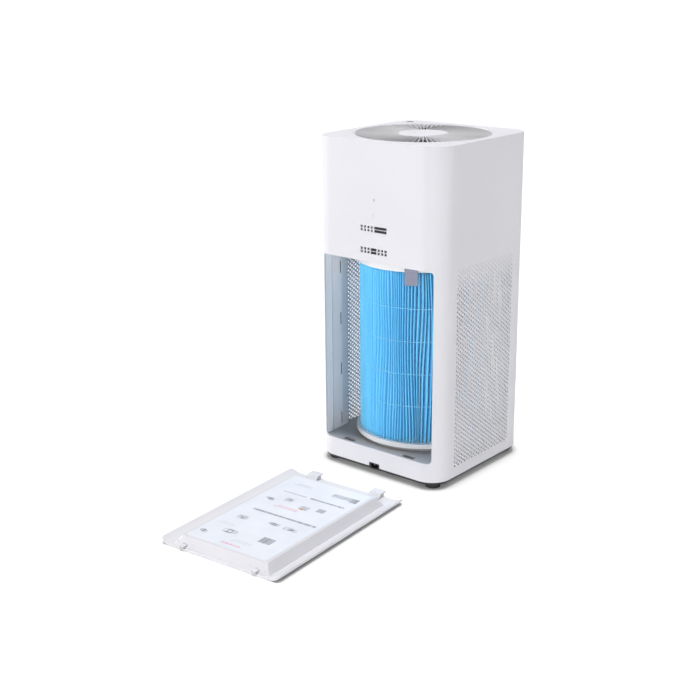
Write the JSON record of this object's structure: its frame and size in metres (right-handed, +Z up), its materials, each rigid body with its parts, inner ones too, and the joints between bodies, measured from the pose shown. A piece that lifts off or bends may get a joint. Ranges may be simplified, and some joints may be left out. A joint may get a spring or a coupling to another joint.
{
  "type": "air purifier",
  "caption": "Free-standing tower air purifier with a radial top grille and perforated sides, its rear bay open on a pleated cylindrical filter and its rear cover lying behind.",
  "frame": {"origin": "centre of the tower's base outline, on the floor", "axes": "+Z up; -Y towards the front; +Y out of the open filter bay, towards the cover; +X towards the right side as seen from the front"},
  "size_m": [0.246, 0.6155, 0.5259],
  "materials": {
    "white_shell": "fine satin moulded ABS",
    "cover_inner": "satin moulded ABS, slightly translucent at thin edges",
    "silver_vane": "silver-grey satin moulding",
    "grey_liner": "grey moulded plastic",
    "grey_fan": "dark grey moulded plastic",
    "black_plastic": "black moulded plastic",
    "black_rubber": "matt black rubber",
    "circuit_board": "solder-masked board",
    "steel_screw": "plated steel",
    "motor_metal": "black-grey steel can",
    "clear_lens": "translucent light guide",
    "key_plastic": "dark satin key",
    "blue_media": "pleated blue nonwoven",
    "filter_ring": "white moulded plastic",
    "carbon_felt": "black activated-carbon felt",
    "strap_webbing": "grey woven tape",
    "grey_foam": "closed-cell foam",
    "label_paper": null
  },
  "bodies": {
    "housing": {"outer_casing": "white_shell", "left_intake_panel": "white_shell", "right_intake_panel": "white_shell", "front_intake_panel": "white_shell", "top_cover": "white_shell", "outlet_grille": "silver_vane", "grille_cap": "white_shell", "power_button_bezel": "silver_vane", "button_board": "circuit_board", "base_screws": "steel_screw", "base_plate": "black_plastic", "rubber_feet": "black_rubber", "lead_clip": "black_plastic", "power_inlet": "black_plastic", "inlet_pins": "steel_screw", "power_board": "circuit_board", "inlet_lead": "black_rubber", "wiring_harness": "black_rubber", "bay_floor": "grey_liner", "left_bay_liner": "grey_liner", "right_bay_liner": "grey_liner", "interlock_switch": "black_plastic", "duct_screws": "steel_screw", "fan_deck": "grey_liner", "filter_gasket": "grey_foam", "fan_duct": "grey_fan", "bracket_screws": "steel_screw", "motor_bracket": "black_plastic", "motor_stator": "motor_metal", "shaft_bearings": "steel_screw", "main_board": "circuit_board", "rear_indicator_lens": "clear_lens", "sensor_vent_screens": "black_plastic", "particle_sensor": "black_plastic", "humidity_sensor": "circuit_board", "front_status_lens": "clear_lens"},
    "fan": {"impeller": "grey_fan", "motor_rotor": "motor_metal", "fan_shaft": "steel_screw", "impeller_nut": "steel_screw"},
    "cartridge": {"filter_media": "blue_media", "filter_top_ring": "filter_ring", "filter_bottom_cap": "filter_ring", "carbon_sleeve": "carbon_felt", "filter_core": "filter_ring"},
    "strap": {"pull_strap": "strap_webbing"},
    "power_key": {"power_button": "key_plastic"},
    "brightness_key": {"brightness_button": "white_shell"},
    "interlock_key": {"interlock_plunger": "black_plastic"},
    "rear_cover": {"cover_panel": "white_shell", "cover_tray": "cover_inner", "instruction_label": "label_paper"},
    "left_latch": {"left_cover_latch": "cover_inner"},
    "right_latch": {"right_cover_latch": "cover_inner"}
  },
  "joints": [
    {"name": "fan_spin", "type": "hinge", "parent": "housing", "child": "fan", "pos_m": [0, 0, 0.4455], "axis": [0, 0, 1], "continuous": true},
    {"name": "cartridge_slide", "type": "slide", "parent": "housing", "child": "cartridge", "axis": [0, 1, 0], "range_m": [0, 0.26]},
    {"name": "strap_lift", "type": "hinge", "parent": "cartridge", "child": "strap", "pos_m": [-0.04906, 0.09306, 0.3405], "axis": [0.8846, 0.4664, 0], "range_deg": [0, 80]},
    {"name": "power_button_press", "type": "slide", "parent": "housing", "child": "power_key", "axis": [0, 0, -1], "range_m": [0, 0.0012], "stiffness_N_per_m": 400, "springref_m": -0.001},
    {"name": "brightness_button_press", "type": "slide", "parent": "housing", "child": "brightness_key", "axis": [0, -1, 0], "range_m": [0, 0.0008], "stiffness_N_per_m": 400, "springref_m": -0.0005},
    {"name": "interlock_press", "type": "slide", "parent": "housing", "child": "interlock_key", "axis": [0, 0, -1], "range_m": [0, 0.0025], "stiffness_N_per_m": 300, "springref_m": -0.001},
    {"name": "cover_slide", "type": "slide", "parent": "housing", "child": "rear_cover", "axis": [0, 1, 0], "range_m": [0, 0.2]},
    {"name": "left_latch_slide", "type": "slide", "parent": "rear_cover", "child": "left_latch", "axis": [-0.0776, 0.997, 0], "range_m": [-0.003, 0], "stiffness_N_per_m": 600, "springref_m": 0.001},
    {"name": "right_latch_slide", "type": "slide", "parent": "rear_cover", "child": "right_latch", "axis": [-0.0776, 0.997, 0], "range_m": [-0.003, 0], "stiffness_N_per_m": 600, "springref_m": 0.001}
  ]
}
